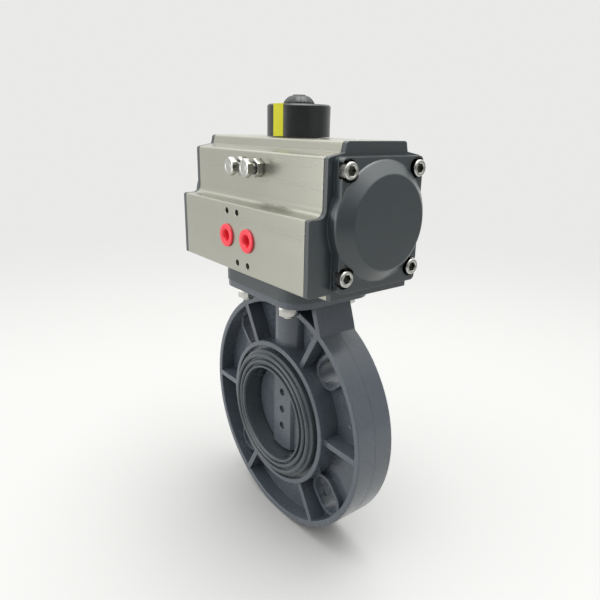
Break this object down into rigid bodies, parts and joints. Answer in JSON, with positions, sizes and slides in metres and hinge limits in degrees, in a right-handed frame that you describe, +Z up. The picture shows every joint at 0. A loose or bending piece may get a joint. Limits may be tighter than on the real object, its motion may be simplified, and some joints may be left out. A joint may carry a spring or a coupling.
{
  "type": "actuated butterfly valve",
  "caption": "Plastic wafer butterfly valve, closed, with a double-acting rack-and-pinion air actuator, end caps, travel stops and a turning position indicator.",
  "frame": {"origin": "centre of the pipe bore, in the middle of the valve's thickness", "axes": "+Z up the stem to the indicator, +Y along the pipe away from the air-port side, +X along the actuator"},
  "size_m": [0.174, 0.0852, 0.3081],
  "materials": {
    "valve_plastic": "satin moulded dark grey",
    "seat_rubber": "matte",
    "disc_plastic": "satin moulded grey",
    "steel": "machined",
    "bearing_plastic": "natural",
    "seal_rubber": "matte",
    "plate_plastic": "satin dark",
    "fastener_steel": "stainless",
    "anodised_body": "hard-anodised satin",
    "cap_paint": "satin powder coat",
    "red_plastic": "gloss",
    "piston_aluminium": "die-cast",
    "black_plastic": "satin",
    "yellow_plastic": "satin"
  },
  "bodies": {
    "housing": {"valve_body": "valve_plastic", "seat_liner": "seat_rubber", "stem_bush_upper": "bearing_plastic", "stem_bush_lower": "bearing_plastic", "stem_seals": "seal_rubber", "adapter_plate": "plate_plastic", "mount_studs": "fastener_steel", "mount_nuts": "fastener_steel", "mount_washers": "fastener_steel", "actuator_body": "anodised_body", "end_cap_right": "cap_paint", "end_cap_left": "cap_paint", "cap_gasket_right": "seal_rubber", "cap_gasket_left": "seal_rubber", "cap_screws_right": "fastener_steel", "cap_screws_left": "fastener_steel", "stop_bolt_right": "fastener_steel", "stop_bolt_left": "fastener_steel", "stop_nut_right": "fastener_steel", "stop_nut_left": "fastener_steel", "port_plug_right": "red_plastic", "port_plug_left": "red_plastic", "pinion_bush_upper": "bearing_plastic", "pinion_bush_lower": "bearing_plastic", "thrust_washer": "bearing_plastic"},
    "drive": {"disc": "disc_plastic", "disc_screws": "steel", "stem": "steel", "drive_sleeve": "steel", "pinion": "steel", "stop_cam": "steel", "pinion_seal_upper": "seal_rubber", "pinion_seal_lower": "seal_rubber", "retaining_clip": "steel", "indicator_cup": "black_plastic", "indicator_stripe": "yellow_plastic", "indicator_screw": "black_plastic"},
    "piston_pair_right": {"piston_right": "piston_aluminium", "piston_seal_right": "seal_rubber", "piston_guide_right": "bearing_plastic", "rack_pad_right": "bearing_plastic"},
    "piston_pair_left": {"piston_left": "piston_aluminium", "piston_seal_left": "seal_rubber", "piston_guide_left": "bearing_plastic", "rack_pad_left": "bearing_plastic"}
  },
  "joints": [
    {"name": "stem_turn", "type": "hinge", "parent": "housing", "child": "drive", "pos_m": [0, 0, 0], "axis": [0, 0, 1], "range_deg": [0, 90]},
    {"name": "piston_right_slide", "type": "slide", "parent": "housing", "child": "piston_pair_right", "axis": [1, 0, 0], "range_m": [0, 0.0189]},
    {"name": "piston_left_slide", "type": "slide", "parent": "housing", "child": "piston_pair_left", "axis": [-1, 0, 0], "range_m": [0, 0.0189]}
  ],
  "couplings": [
    {"joint": "piston_right_slide", "follows": "stem_turn", "m_per_rad": 0.012},
    {"joint": "piston_left_slide", "follows": "stem_turn", "m_per_rad": 0.012}
  ]
}
